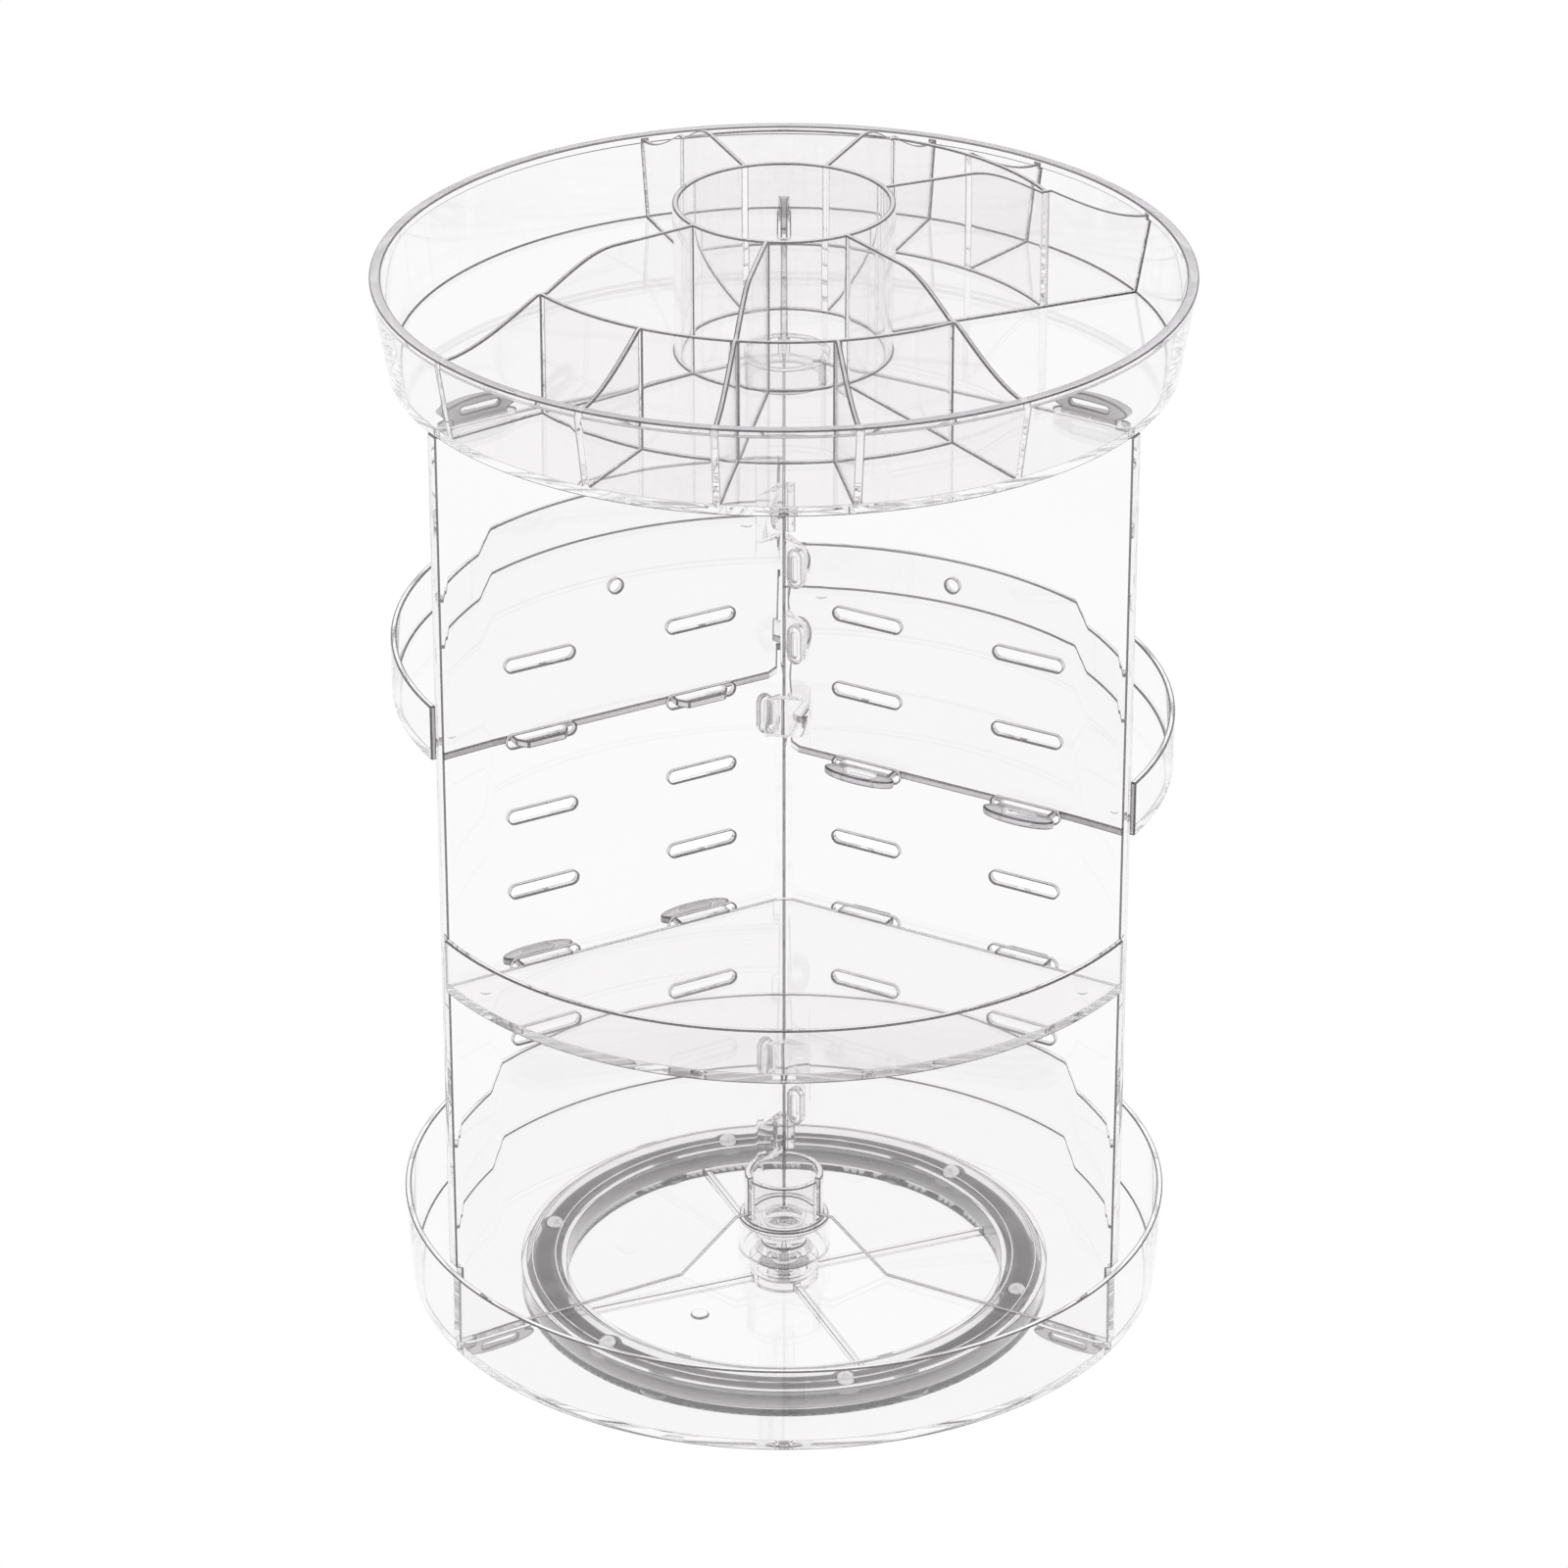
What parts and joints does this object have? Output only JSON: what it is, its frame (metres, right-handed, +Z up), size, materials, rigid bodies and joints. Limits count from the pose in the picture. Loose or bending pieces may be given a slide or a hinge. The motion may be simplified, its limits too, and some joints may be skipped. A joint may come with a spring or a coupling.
{
  "type": "rotating tiered organiser",
  "caption": "Clear rotating organiser: a round base tray on a ball-bearing foot, slotted upright panels with hook-in sector trays, and a divided top tray with a middle cup.",
  "frame": {"origin": "on the table, on the axis of rotation", "axes": "+Z up along the axis of rotation, -Y towards the front sector tray"},
  "size_m": [0.236, 0.236, 0.356],
  "materials": {
    "clear_plastic": "clear moulded polystyrene, glossy",
    "cage_plastic": "dark grey moulded cage",
    "race_plastic": "grey moulded track",
    "steel": "polished bearing steel and plated fixings",
    "rubber": "pale grey anti-slip rubber"
  },
  "bodies": {
    "stand": {"foot_ring": "clear_plastic", "rubber_feet": "rubber", "lower_race": "race_plastic"},
    "ball_train": {"ball_cage": "cage_plastic", "bearing_balls": "steel"},
    "carousel": {"base_tray": "clear_plastic", "centre_hub": "clear_plastic", "pivot_washer": "steel", "pivot_screw": "steel", "panel_front_left": "clear_plastic", "panel_front_right": "clear_plastic", "panel_back": "clear_plastic", "tray_front": "clear_plastic", "tray_left": "clear_plastic", "tray_right": "clear_plastic", "top_tray": "clear_plastic"}
  },
  "joints": [
    {"name": "turntable_spin", "type": "hinge", "parent": "stand", "child": "carousel", "pos_m": [0, 0, 0.0105], "axis": [0, 0, 1], "continuous": true},
    {"name": "cage_spin", "type": "hinge", "parent": "stand", "child": "ball_train", "pos_m": [0, 0, 0.00805], "axis": [0, 0, 1], "continuous": true}
  ],
  "couplings": [
    {"joint": "cage_spin", "follows": "turntable_spin", "ratio": 0.5}
  ]
}
